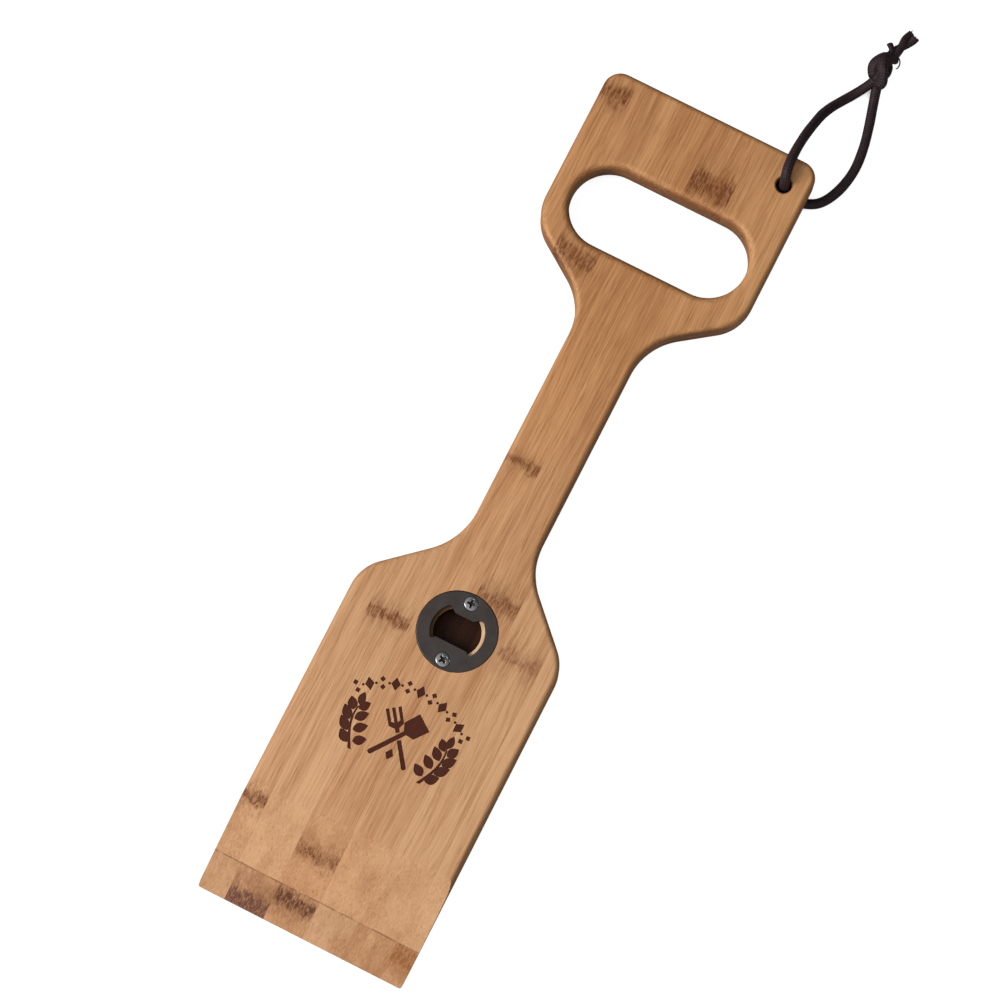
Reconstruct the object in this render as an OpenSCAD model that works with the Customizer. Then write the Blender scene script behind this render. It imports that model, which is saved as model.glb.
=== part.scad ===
// Laminated bamboo grill scraper with a bottle opener insert and a cord loop.
// Units are millimetres, +Z is up. The board lies face up: its scraping edge
// touches the ground and its handle rides on the cord, so it leans slightly.
// Origin: middle of the board's footprint, on the ground.

/* [Board] */
// Length from scraping edge to top of handle
board_l = 450; // [430:5:470]
// Thickness of both glued layers together
board_t = 18; // [16:0.5:20]
// Thickness of the back layer of slats
back_t = 7; // [6:0.5:8]
// Width of the blade
blade_w = 110; // [104:1:114]
// Width of the neck
neck_w = 35.5; // [32:0.5:40]
// Width of the handle
handle_w = 115; // [110:1:120]
// Sideways offset of the hand-cut neck
neck_x = 1; // [-1:0.5:1.5]
// Sideways offset of the handle
handle_x = -0.5; // [-1:0.5:1]
// Rounding of the long edges
edge_r = 3; // [2:0.5:3]

/* [Shoulders] */
// Distance of the blade's shoulder corner from the scraping edge
shoulder_y1 = 172; // [165:1:178]
// Distance of the shoulder's end at the neck
shoulder_y2 = 207; // [200:1:215]
// Distance of the handle's flare from the scraping edge
flare_y1 = 334; // [325:1:338]
// Distance of the flare's outer corner
flare_y2 = 362; // [360:1:366]
// How much higher the flare starts on the left side
flare_skew = 3; // [0:0.5:4]

/* [Scraping bevel] */
// Length of the bevel along the board
bevel_l = 57; // [50:1:65]
// Thickness left at the scraping edge
tip_t = 1.5; // [1:0.1:2.5]
// Rounding of the two tip corners
tip_corner_r = 1.5; // [1:0.5:3]

/* [Slats] */
// Sideways offset of the middle glue joint and of the opener
joint_x = 1.5; // [0:0.5:2]
// Width of one front slat
front_slat_w = 22; // [21.5:0.1:22.5]
// Width of one back slat
back_slat_w = 21; // [20.5:0.1:21.5]

/* [Finger slot] */
// Distance of the slot's middle from the scraping edge
slot_y = 385.5; // [384:0.5:388]
// Overall length of the slot across the board
slot_l = 94; // [90:1:96]
// Height of the slot
slot_h = 40.5; // [36:0.5:42]

/* [Cord hole] */
// Distance of the hole from the board's middle line
hole_x = 44; // [41:0.5:45]
// Distance of the hole from the scraping edge
hole_y = 434.5; // [432:0.5:436]
// Diameter of the hole
hole_d = 8; // [7:0.5:9]

/* [Bottle opener] */
// Distance of the opener's middle from the scraping edge
opener_y = 164.5; // [140:0.5:166]
// Diameter of the opener plate
plate_d = 40; // [38:0.5:41]
// Thickness of the opener plate
plate_t = 2.8; // [2.4:0.1:2.8]
// Depth of the round seat cut for the plate
seat_depth = 3; // [2.9:0.1:3.5]
// Diameter of the cap pocket under the plate
pocket_d = 23.6; // [22:0.2:25]
// Distance between the two screws
screw_gap = 30.5; // [29:0.5:31]
// Diameter of a screw head
screw_head_d = 7.2; // [6:0.1:7.4]
// Diameter of a screw shank
screw_d = 3.2; // [2.8:0.1:3.6]
// Length of a screw under its head
screw_l = 9; // [7:0.5:9.5]

/* [Cord] */
// Diameter of the waxed cord
cord_d = 5; // [4.4:0.1:5]

/* [Hidden] */
$fn = 48;

// How far the cord lifts the handle, and the lean that this gives
lift = cord_d + 0.5;
lean = asin(lift / 432);
front_t = board_t - back_t;

// Everything on the board is drawn flat, then leaned onto its cord
module lay() { translate([0, -board_l / 2, 0]) rotate([lean, 0, 0]) children(); }

// ---- Outline: corners as [x, y, radius], bottom to top on the right, then down the left ----
function side_corners(s, up) = [
  [s * blade_w / 2, -20, 8],
  [s * blade_w / 2, shoulder_y1, 22],
  [neck_x + s * neck_w / 2, shoulder_y2 + s, 36],
  [neck_x + s * neck_w / 2, flare_y1 + up, 32],
  [handle_x + s * handle_w / 2, flare_y2 + up, 23],
  [handle_x + s * handle_w / 2, board_l, 9]
];
left_corners = side_corners(-1, flare_skew);
corners = concat(side_corners(1, 0), [for (i = [5:-1:0]) left_corners[i]]);

function unit(v) = v / norm(v);
function xy(c) = [c[0], c[1]];
// Points of one rounded corner, with the outline moved inwards by d
function corner_arc(a, p, b, r, d) =
  let (u = unit(a - p), w = unit(b - p),
       half = acos(u * w) / 2,
       c = p + unit(u + w) * r / sin(half),
       t1 = p + u * r / tan(half), t2 = p + w * r / tan(half),
       turn = 180 - 2 * half,
       s = sign((p - a)[0] * (b - p)[1] - (p - a)[1] * (b - p)[0]),
       a1 = atan2((t1 - c)[1], (t1 - c)[0]),
       n = ceil(turn / 11))
  [for (k = [0:n]) c + (r - s * d) * [cos(a1 + s * turn * k / n), sin(a1 + s * turn * k / n)]];
function outline(d) = [for (i = [0:len(corners) - 1])
  let (m = len(corners), a = xy(corners[(i + m - 1) % m]), p = xy(corners[i]), b = xy(corners[(i + 1) % m]))
  each corner_arc(a, p, b, corners[i][2], d)];
// Points of the finger slot, grown outwards by d
function slot_ring(d) =
  let (r = slot_h / 2, e = slot_l / 2 - r)
  concat([for (k = [-8:8]) [e + (r + d) * cos(k * 11.25), slot_y + (r + d) * sin(k * 11.25)]],
         [for (k = [8:24]) [-e + (r + d) * cos(k * 11.25), slot_y + (r + d) * sin(k * 11.25)]]);

// Edge rounding as [height above the back face, distance inwards]
function round_low(r) = concat([[-0.3, r * 1.3]],
  [for (q = [75, 50, 25, 0]) [r - r * sin(q), r - r * cos(q)]]);
function round_high(r) = [for (k = [4:-1:0]) [board_t - round_low(r)[k][0], round_low(r)[k][1]]];
back_profile = concat(round_low(edge_r), [[back_t + 1, 0]]);
front_profile = concat([[back_t - 1, 0]], round_high(edge_r));
slot_back_profile = concat(round_low(3), [[back_t + 2, 0]]);
slot_front_profile = concat([[back_t - 2, 0]], round_high(4));

// Closed solid through a stack of rings with the same number of points
module stack(rings, heights) {
  m = len(rings[0]);
  k = len(rings);
  polyhedron(
    points = [for (j = [0:k - 1]) for (p = rings[j]) [p[0], p[1], heights[j]]],
    faces = concat(
      [[for (i = [0:m - 1]) i]],
      [for (j = [0:k - 2]) for (i = [0:m - 1]) each [
        [j * m + i, (j + 1) * m + i, (j + 1) * m + (i + 1) % m],
        [j * m + i, (j + 1) * m + (i + 1) % m, j * m + (i + 1) % m]]],
      [[for (i = [m - 1:-1:0]) (k - 1) * m + i]]));
}
module board_blank(profile) {
  stack([for (q = profile) outline(q[1])], [for (q = profile) q[0]]);
}
module slot_cutter(profile) {
  stack([for (q = profile) slot_ring(q[1])], [for (q = profile) q[0]]);
}
// Removes the wedge above the scraping bevel
module bevel_cutter() {
  g = (board_t - tip_t) / bevel_l;
  translate([-80, 0, 0]) rotate([90, 0, 90]) linear_extrude(height = 160)
    polygon([[-30, tip_t - 30 * g], [bevel_l + 6, board_t + 6 * g], [bevel_l + 6, 40], [-30, 40]]);
}
// Rounds one upright tip corner; side is 1 or -1
module tip_corner_cutter(side) {
  r = tip_corner_r;
  x0 = side * (blade_w / 2 - r);
  difference() {
    translate([side > 0 ? x0 : x0 - r - 2, -2, -1]) cube([r + 2, r + 2, 12]);
    translate([x0, r, -2]) cylinder(r = r, h = 14);
  }
}
module opener_cutter() {
  translate([joint_x, opener_y, board_t - seat_depth]) cylinder(d = plate_d + 0.2, h = seat_depth + 5, $fn = 96);
  translate([joint_x, opener_y, back_t]) cylinder(d = pocket_d, h = front_t, $fn = 64);
  for (s = [-1, 1]) translate([joint_x, opener_y + s * screw_gap / 2, board_t - seat_depth - screw_l + 1])
    cylinder(d = screw_d, h = screw_l + 4);
}
module hole_cutter() { translate([hole_x, hole_y, -5]) cylinder(d = hole_d, h = board_t + 10); }

// One slat strip between x0 and x1, measured from the middle joint, and y0 and y1
module front_strip(x0, x1, y0, y1, slot = false, bevel = false, opener = false, hole = false) {
  lay() difference() {
    intersection() {
      board_blank(front_profile);
      translate([joint_x + x0, y0, back_t]) cube([x1 - x0, y1 - y0, front_t]);
    }
    if (bevel) bevel_cutter();
    if (slot) slot_cutter(slot_front_profile);
    if (opener) opener_cutter();
    if (hole) hole_cutter();
  }
}
module back_strip(x0, x1, y0, y1, slot = false, bevel = false, hole = false, tip = 0) {
  lay() difference() {
    intersection() {
      board_blank(back_profile);
      translate([joint_x + x0, y0, 0]) cube([x1 - x0, y1 - y0, back_t]);
    }
    if (bevel) bevel_cutter();
    if (slot) slot_cutter(slot_back_profile);
    if (hole) hole_cutter();
    if (tip != 0) tip_corner_cutter(tip);
  }
}
fw = front_slat_w;
bw = back_slat_w;
mid = 270;          // inside the neck, splits blade pieces from handle pieces
top = board_l + 5;

// ---- Front layer ----
module front_slat_1_blade() { color("burlywood") front_strip(-70, -2 * fw, 0, mid, bevel = true); }
module front_slat_2_blade() { color("tan") front_strip(-2 * fw, -fw, 0, mid, bevel = true); }
module front_slat_3_shaft() { color("burlywood") front_strip(-fw, 0, 0, slot_y, slot = true, bevel = true, opener = true); }
module front_slat_4_shaft() { color("tan") front_strip(0, fw, 0, slot_y, slot = true, bevel = true, opener = true); }
module front_slat_5_blade() { color("burlywood") front_strip(fw, 2 * fw, 0, mid, bevel = true); }
module front_slat_6_blade() { color("tan") front_strip(2 * fw, 70, 0, mid, bevel = true); }
module front_slat_1_handle() { color("peru") front_strip(-70, -2 * fw, mid, top, slot = true); }
module front_slat_2_handle() { color("tan") front_strip(-2 * fw, -fw, mid, slot_y, slot = true); }
module front_slat_5_handle() { color("peru") front_strip(fw, 2 * fw, mid, slot_y, slot = true); }
module front_slat_6_handle() { color("tan") front_strip(2 * fw, 70, mid, top, slot = true, hole = true); }
module front_slat_2_grip() { color("tan") front_strip(-2 * fw, -fw, slot_y, top, slot = true); }
module front_slat_3_grip() { color("peru") front_strip(-fw, 0, slot_y, top, slot = true); }
module front_slat_4_grip() { color("tan") front_strip(0, fw, slot_y, top, slot = true); }
module front_slat_5_grip() { color("peru") front_strip(fw, 2 * fw, slot_y, top, slot = true, hole = true); }

// ---- Back layer ----
module back_slat_1_blade() { color("tan") back_strip(-70, -2 * bw, 0, mid, bevel = true, tip = -1); }
module back_slat_2_blade() { color("sienna") back_strip(-2 * bw, -bw, 0, mid, bevel = true); }
module back_slat_3_shaft() { color("tan") back_strip(-bw, 0, 0, slot_y, slot = true, bevel = true); }
module back_slat_4_shaft() { color("burlywood") back_strip(0, bw, 0, slot_y, slot = true, bevel = true); }
module back_slat_5_blade() { color("tan") back_strip(bw, 2 * bw, 0, mid, bevel = true); }
module back_slat_6_blade() { color("burlywood") back_strip(2 * bw, 70, 0, mid, bevel = true, tip = 1); }
module back_slat_1_handle() { color("tan") back_strip(-70, -2 * bw, mid, top, slot = true); }
module back_slat_2_handle() { color("burlywood") back_strip(-2 * bw, -bw, mid, slot_y, slot = true); }
module back_slat_5_handle() { color("tan") back_strip(bw, 2 * bw, mid, slot_y, slot = true); }
module back_slat_6_handle() { color("burlywood") back_strip(2 * bw, 70, mid, top, slot = true, hole = true); }
module back_slat_2_grip() { color("tan") back_strip(-2 * bw, -bw, slot_y, top, slot = true); }
module back_slat_3_grip() { color("burlywood") back_strip(-bw, 0, slot_y, top, slot = true); }
module back_slat_4_grip() { color("tan") back_strip(0, bw, slot_y, top, slot = true); }
module back_slat_5_grip() { color("burlywood") back_strip(bw, 2 * bw, slot_y, top, slot = true, hole = true); }

// ---- Bottle opener ----
plate_z = board_t - seat_depth;
// The mouth: round sides, a lifting lip above and a straight edge below
module opener_mouth() {
  intersection() {
    circle(r = 13.5, $fn = 96);
    polygon([[-14, -8.2], [-9.6, -8.2], [-8.4, -6.8], [8.4, -6.8], [9.6, -8.2], [14, -8.2],
             [14, 10], [8, 10], [4.8, 7.7], [-4.8, 7.7], [-8, 10], [-14, 10]]);
  }
}
module bottle_opener_plate() {
  color("dimgray") lay() translate([joint_x, opener_y, plate_z]) difference() {
    union() {
      cylinder(d = plate_d, h = plate_t - 0.5, $fn = 96);
      translate([0, 0, plate_t - 0.5]) cylinder(d1 = plate_d, d2 = plate_d - 1, h = 0.5, $fn = 96);
    }
    translate([0, 0, -1]) linear_extrude(height = plate_t + 2) opener_mouth();
    for (s = [-1, 1]) translate([0, s * screw_gap / 2, 0]) {
      translate([0, 0, -1]) cylinder(d = screw_d + 0.4, h = plate_t + 2);
      translate([0, 0, plate_t - 1.8]) cylinder(d1 = screw_d + 0.4, d2 = screw_head_d + 0.6, h = 2);
    }
  }
}
// Countersunk cross-head wood screw, head up
module wood_screw() {
  difference() {
    union() {
      translate([0, 0, plate_t - 1.9]) cylinder(d1 = screw_d, d2 = screw_head_d, h = 1.8);
      translate([0, 0, plate_t - 0.1]) cylinder(d1 = screw_head_d, d2 = screw_head_d - 2.4, h = 0.6);
      translate([0, 0, 1 - screw_l + 1]) cylinder(d = screw_d, h = screw_l - 1 + plate_t - 2.5);
      translate([0, 0, 1 - screw_l]) cylinder(d1 = 1, d2 = screw_d, h = 1);
    }
    for (a = [45, 135]) rotate([0, 0, a]) translate([-1.9, -0.45, plate_t - 0.9]) cube([3.8, 0.9, 3]);
  }
}
module opener_screw_upper() { color("silver") lay() translate([joint_x, opener_y + screw_gap / 2, plate_z]) wood_screw(); }
module opener_screw_lower() { color("silver") lay() translate([joint_x, opener_y - screw_gap / 2, plate_z]) wood_screw(); }

// ---- Cord: from the knot over the handle's face, down the hole, under the
// corner and along the ground back to the knot ----
cord_route = [
  [59.2, 281.5, 5.6], [56.4, 276.5, 4], [53, 271, 3.4], [49.5, 265.2, 4.8], [46.6, 259.5, 7.6],
  [44.4, 253, 11.8], [43.2, 246, 16.4], [42.3, 239, 21], [41.8, 232, 25], [41.6, 226.5, 27.2],
  [41.7, 221, 28.6], [42.2, 216, 29], [43.1, 212.2, 27.7], [43.8, 210, 24.6], [44, 209.4, 20.4],
  [44, 209.4, 14.4], [43.6, 209.4, 8.8], [44.4, 209.4, 5.6], [46.4, 209.4, 3], [49.8, 209.6, 2.6],
  [54, 210.2, 2.6], [58.6, 211.6, 2.6], [62.8, 214.4, 2.6], [66.4, 219.6, 2.6], [69.4, 227.8, 2.6],
  [70.8, 238, 2.6], [69.8, 249.6, 2.6], [67.4, 260.6, 2.6], [64.8, 270, 2.8], [62.4, 278.6, 3.8]
];
tail_long_route = [[61, 293, 6.4], [62, 298, 5.8], [63.6, 303.4, 5], [65.2, 308.4, 4.4], [66.8, 312, 4.2]];
tail_short_route = [[59.6, 293, 7.4], [58.6, 297.4, 7.2], [57.6, 301.8, 6.4]];

// Ring frames carried along the route without twist
function tangent(p, i) = unit(p[min(i + 1, len(p) - 1)] - p[max(i - 1, 0)]);
function side_on(n, t) = unit(n - t * (n * t));
function frames(p, i = 0, n = [0, 0, 1], acc = []) = i == len(p) ? acc :
  let (t = tangent(p, i), m = side_on(i == 0 ? (abs(t[2]) > 0.9 ? [1, 0, 0] : n) : n, t))
  frames(p, i + 1, m, concat(acc, [[p[i], m, cross(t, m)]]));
function ring(f, r, sides) = [for (k = [0:sides - 1])
  f[0] + r * (cos(k * 360 / sides) * f[1] + sin(k * 360 / sides) * f[2])];
module tube(route, r, sides) {
  f = frames(route);
  m = len(route);
  polyhedron(
    points = [for (j = [0:m - 1]) each ring(f[j], r, sides)],
    faces = concat(
      [[for (i = [sides - 1:-1:0]) i]],
      [for (j = [0:m - 2]) for (i = [0:sides - 1]) each [
        [j * sides + i, j * sides + (i + 1) % sides, (j + 1) * sides + (i + 1) % sides],
        [j * sides + i, (j + 1) * sides + (i + 1) % sides, (j + 1) * sides + i]]],
      [[for (i = [0:sides - 1]) (m - 1) * sides + i]]));
}
module cord_loop() { color("#2d2024") tube(cord_route, cord_d / 2, 8); }
// The overhand knot as one plain lump; it fits the strands that enter it
module cord_knot() {
  color("#2d2024") translate([60, 287, 7.2]) rotate([0, 0, -14]) hull() {
    translate([0, -1.5, 0]) sphere(r = 6.9, $fn = 20);
    translate([0, 4, -0.6]) sphere(r = 5, $fn = 20);
  }
}
module cord_tail_long() { color("#2d2024") tube(tail_long_route, 3.6, 8); }
module cord_tail_short() { color("#2d2024") tube(tail_short_route, 2.3, 8); }

front_slat_1_blade();
front_slat_2_blade();
front_slat_3_shaft();
front_slat_4_shaft();
front_slat_5_blade();
front_slat_6_blade();
front_slat_1_handle();
front_slat_2_handle();
front_slat_5_handle();
front_slat_6_handle();
front_slat_2_grip();
front_slat_3_grip();
front_slat_4_grip();
front_slat_5_grip();
back_slat_1_blade();
back_slat_2_blade();
back_slat_3_shaft();
back_slat_4_shaft();
back_slat_5_blade();
back_slat_6_blade();
back_slat_1_handle();
back_slat_2_handle();
back_slat_5_handle();
back_slat_6_handle();
back_slat_2_grip();
back_slat_3_grip();
back_slat_4_grip();
back_slat_5_grip();
bottle_opener_plate();
opener_screw_upper();
opener_screw_lower();
cord_loop();
cord_knot();
cord_tail_long();
cord_tail_short();
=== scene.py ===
import bpy, bmesh, math
import numpy as np
from mathutils import Matrix, Vector


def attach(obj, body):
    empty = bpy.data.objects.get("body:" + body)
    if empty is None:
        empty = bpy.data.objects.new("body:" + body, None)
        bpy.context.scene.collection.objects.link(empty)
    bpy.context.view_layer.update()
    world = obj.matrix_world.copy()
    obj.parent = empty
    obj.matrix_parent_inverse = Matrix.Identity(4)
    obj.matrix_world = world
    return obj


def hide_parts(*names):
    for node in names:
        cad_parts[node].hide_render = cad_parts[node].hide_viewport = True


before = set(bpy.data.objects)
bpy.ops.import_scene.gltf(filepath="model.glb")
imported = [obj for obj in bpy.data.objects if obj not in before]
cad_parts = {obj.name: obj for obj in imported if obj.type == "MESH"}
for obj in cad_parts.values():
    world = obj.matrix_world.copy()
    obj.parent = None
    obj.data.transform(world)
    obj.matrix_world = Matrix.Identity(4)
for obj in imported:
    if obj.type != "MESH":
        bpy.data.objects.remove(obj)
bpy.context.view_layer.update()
MM = 0.001
LEAN = math.asin(5.5 / 432)
BOARD_L, BOARD_T, BACK_T = 450.0, 18.0, 7.0
LAY = Matrix.Translation((0, -BOARD_L / 2 * MM, 0)) @ Matrix.Rotation(LEAN, 4, "X") @ Matrix.Scale(MM, 4)
scene = bpy.context.scene


def lay(p):
    """Board millimetres (x across, y from the scraping edge, z from the back) to the frame."""
    return LAY @ Vector(p)


# ------------------------------------------------------------------ camera
def make_camera(tilt_u, tilt_v, roll, dist, focal_px, shift_xy):
    """Looks at the board from above: tilt_u towards the scraping edge, tilt_v towards the right side."""
    cam = bpy.data.cameras.new("photo_camera")
    ob = bpy.data.objects.new("photo_camera", cam)
    scene.collection.objects.link(ob)
    cam.sensor_width = 36.0
    cam.lens = 36.0 * focal_px / 1001.0
    cam.clip_start, cam.clip_end = 0.05, 20
    rx, ry, rz = math.radians(-tilt_u), math.radians(-tilt_v), math.radians(roll)
    r = Matrix.Rotation(rz, 3, "Z") @ Matrix.Rotation(ry, 3, "Y") @ Matrix.Rotation(rx, 3, "X")
    rt = r.transposed()
    centre = rt @ (Vector((0, 0, dist)) - Vector((shift_xy[0], shift_xy[1], 0)))
    centre = lay((centre.x, centre.y, centre.z + BOARD_T))
    rot = Matrix.Rotation(LEAN, 3, "X") @ rt
    ob.matrix_world = Matrix.Translation(centre) @ rot.to_4x4()
    scene.camera = ob
    return ob


cam = make_camera(9.0, 4.0, -26.62240, 2200.0, 4615.648, (-96.5955, -206.9387))
CAM_ROT = cam.matrix_world.to_3x3()


# ------------------------------------------------------------------ cord
CORD_D = 5.0
CORD_ROUTE = [  # from the knot over the handle's face, down the hole and along the ground back to the knot
    (59.2, 281.5, 5.6), (56.4, 276.5, 4), (53, 271, 3.4), (49.5, 265.2, 4.8), (46.6, 259.5, 7.6),
    (44.4, 253, 11.8), (43.2, 246, 16.4), (42.3, 239, 21), (41.8, 232, 25), (41.6, 226.5, 27.2),
    (41.7, 221, 28.6), (42.2, 216, 29), (43.1, 212.2, 27.7), (43.8, 210, 24.6), (44, 209.4, 20.4),
    (44, 209.4, 14.4), (43.6, 209.4, 8.8), (44.4, 209.4, 5.6), (46.4, 209.4, 3.0), (49.8, 209.6, 2.6),
    (54, 210.2, 2.6), (58.6, 211.6, 2.6), (62.8, 214.4, 2.6), (66.4, 219.6, 2.6), (69.4, 227.8, 2.6),
    (70.8, 238, 2.6), (69.8, 249.6, 2.6), (67.4, 260.6, 2.6), (64.8, 270, 2.8), (62.4, 278.6, 3.8)]
IN_HOLE = 15                     # the route's point in the middle of the hole
cord_front = CORD_ROUTE[IN_HOLE::-1] + [(60.3, 285.4, 6.8)]
cord_back = CORD_ROUTE[IN_HOLE:] + [(61.0, 284.6, 5.6)]


def smooth_path(pts, step=0.6):
    """Catmull-Rom through the points, then evenly spaced, in millimetres."""
    p = [Vector(q) for q in pts]
    p = [p[0] * 2 - p[1]] + p + [p[-1] * 2 - p[-2]]
    fine = []
    for i in range(1, len(p) - 2):
        for k in range(24):
            t = k / 24
            a, b, c, d = p[i - 1], p[i], p[i + 1], p[i + 2]
            fine.append(0.5 * ((2 * b) + (c - a) * t + (2 * a - 5 * b + 4 * c - d) * t * t + (3 * b - a - 3 * c + d) * t ** 3))
    fine.append(p[-2])
    s = [0.0]
    for a, b in zip(fine, fine[1:]):
        s.append(s[-1] + (b - a).length)
    n = max(4, int(s[-1] / step))
    out, j = [], 0
    for k in range(n + 1):
        want = s[-1] * k / n
        while j < len(s) - 2 and s[j + 1] < want:
            j += 1
        f = (want - s[j]) / max(1e-9, s[j + 1] - s[j])
        out.append(fine[j].lerp(fine[j + 1], min(1, max(0, f))))
    return out, s[-1]


def tube_mesh(name, path, radius, sides=20, shape=None, caps=True):
    """Tube of quads along an evenly spaced path in millimetres. shape(s, a) scales the radius; s is mm along, a is the angle."""
    n = len(path)
    t = [(path[min(i + 1, n - 1)] - path[max(i - 1, 0)]).normalized() for i in range(n)]
    nrm = Vector((0, 0, 1)) if abs(t[0].z) < 0.9 else Vector((1, 0, 0))
    verts, uv = [], []
    s = 0.0
    for i in range(n):
        nrm = (nrm - t[i] * nrm.dot(t[i])).normalized()
        b = t[i].cross(nrm)
        if i:
            s += (path[i] - path[i - 1]).length
        r0 = radius(s, i / (n - 1)) if callable(radius) else radius
        for k in range(sides):
            a = 2 * math.pi * k / sides
            r = r0 * (shape(s, a) if shape else 1.0)
            verts.append((path[i] + r * (math.cos(a) * nrm + math.sin(a) * b)) * MM)
    faces = []
    for i in range(n - 1):
        for k in range(sides):
            k2 = (k + 1) % sides
            faces.append((i * sides + k, i * sides + k2, (i + 1) * sides + k2, (i + 1) * sides + k))
    me = bpy.data.meshes.new(name)
    if caps:
        faces.append(tuple(range(sides - 1, -1, -1)))
        faces.append(tuple((n - 1) * sides + k for k in range(sides)))
    me.from_pydata([tuple(v) for v in verts], [], faces)
    layer = me.uv_layers.new(name="UVMap")
    step = (path[1] - path[0]).length
    for poly in me.polygons:
        for li in poly.loop_indices:
            vi = me.loops[li].vertex_index
            k, i = vi % sides, vi // sides
            if poly.index < (n - 1) * sides and k == 0 and poly.index % sides == sides - 1:
                k = sides
            layer.data[li].uv = (k / sides, i * step / (2 * math.pi * CORD_D / 2))
    me.polygons.foreach_set("use_smooth", [len(p.vertices) == 4 for p in me.polygons])
    me.update()
    ob = bpy.data.objects.new(name, me)
    scene.collection.objects.link(ob)
    return ob


def braid(sv, av):
    """Relief of the braided cover."""
    return 1 + 0.030 * math.sin(6 * av + sv * 2.6) * math.sin(6 * av - sv * 2.6) + 0.018 * math.sin(2 * av + sv * 0.11) + 0.012 * math.sin(sv * 0.33)


cords = []
for nm, pts in (("cord_strand_front", cord_front), ("cord_strand_back", cord_back)):
    path, length = smooth_path(pts, 0.42)
    ob = tube_mesh(nm, path, CORD_D / 2 * 0.995, 28, braid)
    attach(ob, "lanyard")
    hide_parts("cord_loop")
    cords.append((ob, path, length))

rnd = np.random.default_rng(785)


def strand(name, pts, r, replaces=None, sides=24, flat=0.0, ends=0.75, phase=0.0, flare=0.0):
    """A short stretch of the same cord with rounded ends; flat presses it, flare opens its far end."""
    path, length = smooth_path(pts, 0.35)
    def rad(sv, f):
        k = 1.0
        if ends:
            k = min(1.0, math.sqrt(max(0.02, 1 - (1 - min(1, sv / (r * ends))) ** 2)))
            if not flare:
                k = min(k, math.sqrt(max(0.02, 1 - (1 - min(1, (length - sv) / (r * ends))) ** 2)))
        return r * k * (1 + flare * max(0, f - 0.62) ** 1.5 / 0.23)
    def shape(sv, av):
        return braid(sv, av + phase) * (1 + flat * math.cos(2 * (av + phase)) + 0.03 * math.sin(sv * 0.9 + phase + av))
    ob = tube_mesh(name, path, rad, sides, shape)
    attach(ob, "lanyard")
    if replaces:
        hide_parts(replaces)
    return ob, path


knot_parts = []
knot_outer, _ = strand("knot_left_lobe", [(61.8, 294.4, 5.6), (60.9, 295.0, 8.4), (59.3, 293.9, 10.4), (57.4, 291.6, 11.0), (56.2, 288.9, 10.4), (56.3, 286.4, 9.0),
                        (57.9, 284.2, 7.6), (60.2, 284.4, 5.4)], 2.65, "cord_knot", flat=0.10, phase=0.6)
knot_inner, _ = strand("knot_right_lobe", [(58.0, 291.6, 6.4), (58.1, 292.4, 9.6), (59.2, 290.9, 12.0), (60.5, 288.0, 12.5), (62.1, 285.0, 11.4), (63.2, 282.4, 9.4),
                        (62.2, 281.0, 7.2), (60.2, 282.4, 5.0)], 2.65, flat=0.12, phase=1.9)
knot_core, _ = strand("knot_core", [(60.4, 281.8, 5.4), (59.9, 285.0, 7.4), (59.8, 289.0, 8.8), (60.8, 294.6, 7.4), (61.6, 298.0, 6.4)], 3.0, phase=0.3)
knot_side, _ = strand("knot_under_wrap", [(58.0, 285.4, 2.9), (58.4, 290.0, 2.6), (60.4, 293.6, 2.8), (62.4, 292.4, 3.6), (63.0, 289.0, 4.6), (62.6, 285.8, 5.4)], 2.4, phase=2.4)
knot_parts += [knot_outer, knot_inner, knot_core, knot_side]

# the two ends leave the knot twisted round each other
TAIL = [(60.6, 293.0, 7.0), (61.6, 297.2, 6.6), (63.2, 302.0, 5.8), (64.8, 306.6, 5.2), (66.8, 311.6, 4.9)]
tail_mid, tail_len = smooth_path(TAIL, 0.5)


def twisted(phase, turns, off):
    pts, n = [], len(tail_mid)
    for i in range(0, n, 3):
        t = (tail_mid[min(i + 1, n - 1)] - tail_mid[max(i - 1, 0)]).normalized()
        side = t.cross(Vector((0, 0, 1))).normalized()
        up = side.cross(t)
        f = i / (n - 1)
        a = phase + turns * 2 * math.pi * f
        o = off * (0.85 + 0.45 * f * f)
        pts.append(tail_mid[i] + side * o * math.cos(a) + up * o * 0.72 * math.sin(a))
    return pts


tail_a, path_a = strand("tail_long_strand_a", twisted(math.pi / 2, 0.85, 1.25), 1.95, "cord_tail_long", phase=0.2, flare=0.12, flat=0.05)
tail_b, path_b = strand("tail_long_strand_b", twisted(1.5 * math.pi, 0.85, 1.25), 1.95, phase=1.3, flare=0.12, flat=0.05)
tail_stub, _ = strand("tail_short_strand", [(62.4, 296.4, 6.4), (61.2, 298.8, 7.4), (59.8, 300.6, 7.4), (58.2, 302.2, 6.8)], 1.4, "cord_tail_short", phase=0.9, flare=0.12, flat=0.12)
tail_fold, _ = strand("tail_side_fold", [(61.6, 294.0, 6.0), (63.4, 295.4, 5.6), (64.6, 296.2, 5.0), (63.6, 297.6, 4.6), (62.4, 298.0, 5.0)], 1.5, phase=0.9)
knot_parts += [tail_a, tail_b, tail_stub, tail_fold]


def thin(name, pts, r, sides=8):
    path, _ = smooth_path(pts, 0.3)
    ob = tube_mesh(name, path, lambda sv, f: r * (1 - 0.25 * f), sides)
    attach(ob, "lanyard")
    return ob


knot_parts.append(thin("loose_thread", [(63.4, 298.2, 5.4), (65.0, 298.2, 5.6), (66.3, 297.4, 4.6), (67.0, 296.2, 3.2), (66.9, 294.8, 1.2), (66.3, 294.0, 0.5)], 0.4))


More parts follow.
